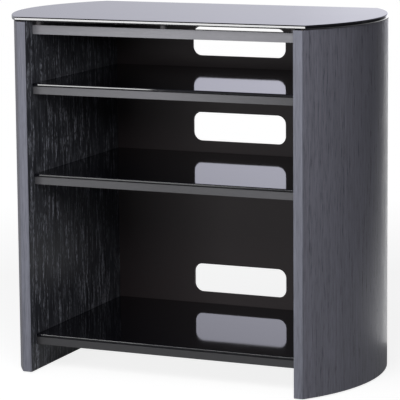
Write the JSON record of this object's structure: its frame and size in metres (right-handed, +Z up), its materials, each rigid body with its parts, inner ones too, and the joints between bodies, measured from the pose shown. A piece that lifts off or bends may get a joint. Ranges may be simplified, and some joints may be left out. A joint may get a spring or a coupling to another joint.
{
  "type": "tv stand",
  "caption": "Television and equipment stand with two hollow bowed side columns, boards carrying glass shelves, a thin back with cable windows and a glass top with bowed ends.",
  "frame": {"origin": "on the floor, at the middle of the width and depth of the footprint", "axes": "+X across the front to the right as seen from the front, +Y to the back, +Z up"},
  "size_m": [0.746, 0.43, 0.7045],
  "materials": {
    "black_oak": "open-grained black-stained oak veneer, satin lacquer",
    "oak_edge": "smooth dark grey edge band, satin lacquer",
    "raw_board": "bare fibreboard, sawn",
    "black_glass": "toughened glass with a black painted underside, polished edges",
    "back_board": "thin fibreboard with a dark brown-black face",
    "zinc_plated_steel": "zinc plated, slightly dull",
    "beech": "fluted beech, bare",
    "nylon": "moulded, fine matt",
    "buffer_rubber": "moulded dark grey rubber, matt",
    "clear_pad": "clear soft pad, slightly cloudy"
  },
  "bodies": {
    "cabinet": {"left_inner_panel": "black_oak", "right_inner_panel": "black_oak", "left_bowed_panel": "black_oak", "right_bowed_panel": "black_oak", "left_front_post": "raw_board", "right_front_post": "raw_board", "left_back_post": "raw_board", "right_back_post": "raw_board", "left_bottom_rib": "raw_board", "right_bottom_rib": "raw_board", "left_middle_rib": "raw_board", "right_middle_rib": "raw_board", "left_top_rib": "raw_board", "right_top_rib": "raw_board", "left_front_band": "oak_edge", "right_front_band": "oak_edge", "left_back_band": "oak_edge", "right_back_band": "oak_edge", "left_glides": "nylon", "right_glides": "nylon", "bottom_board": "black_oak", "lower_shelf_board": "black_oak", "upper_shelf_board": "black_oak", "bottom_lipping": "oak_edge", "lower_shelf_lipping": "oak_edge", "upper_shelf_lipping": "oak_edge", "top_front_rail": "black_oak", "top_back_rail": "black_oak", "front_rail_lipping": "oak_edge", "bottom_cam_bolts": "zinc_plated_steel", "lower_shelf_cam_bolts": "zinc_plated_steel", "upper_shelf_cam_bolts": "zinc_plated_steel", "rail_cam_bolts": "zinc_plated_steel", "bottom_cam_discs": "zinc_plated_steel", "lower_shelf_cam_discs": "zinc_plated_steel", "upper_shelf_cam_discs": "zinc_plated_steel", "rail_cam_discs": "zinc_plated_steel", "bottom_dowels": "beech", "lower_shelf_dowels": "beech", "upper_shelf_dowels": "beech", "back_panel": "back_board", "back_panel_screws": "zinc_plated_steel", "bottom_glass_pads": "clear_pad", "lower_glass_pads": "clear_pad", "upper_glass_pads": "clear_pad", "front_rail_buffers": "buffer_rubber", "back_rail_buffers": "buffer_rubber", "column_top_pads": "clear_pad"},
    "top_glass": {"top_glass": "black_glass"},
    "upper_shelf_glass": {"upper_shelf_glass": "black_glass"},
    "lower_shelf_glass": {"lower_shelf_glass": "black_glass"},
    "bottom_glass": {"bottom_glass": "black_glass"}
  },
  "joints": [
    {"name": "top_glass_lift", "type": "slide", "parent": "cabinet", "child": "top_glass", "axis": [0, 0, 1], "range_m": [0, 0.1]},
    {"name": "upper_glass_slide", "type": "slide", "parent": "cabinet", "child": "upper_shelf_glass", "axis": [0, -1, 0], "range_m": [0, 0.18]},
    {"name": "lower_glass_slide", "type": "slide", "parent": "cabinet", "child": "lower_shelf_glass", "axis": [0, -1, 0], "range_m": [0, 0.18]},
    {"name": "bottom_glass_slide", "type": "slide", "parent": "cabinet", "child": "bottom_glass", "axis": [0, -1, 0], "range_m": [0, 0.18]}
  ]
}
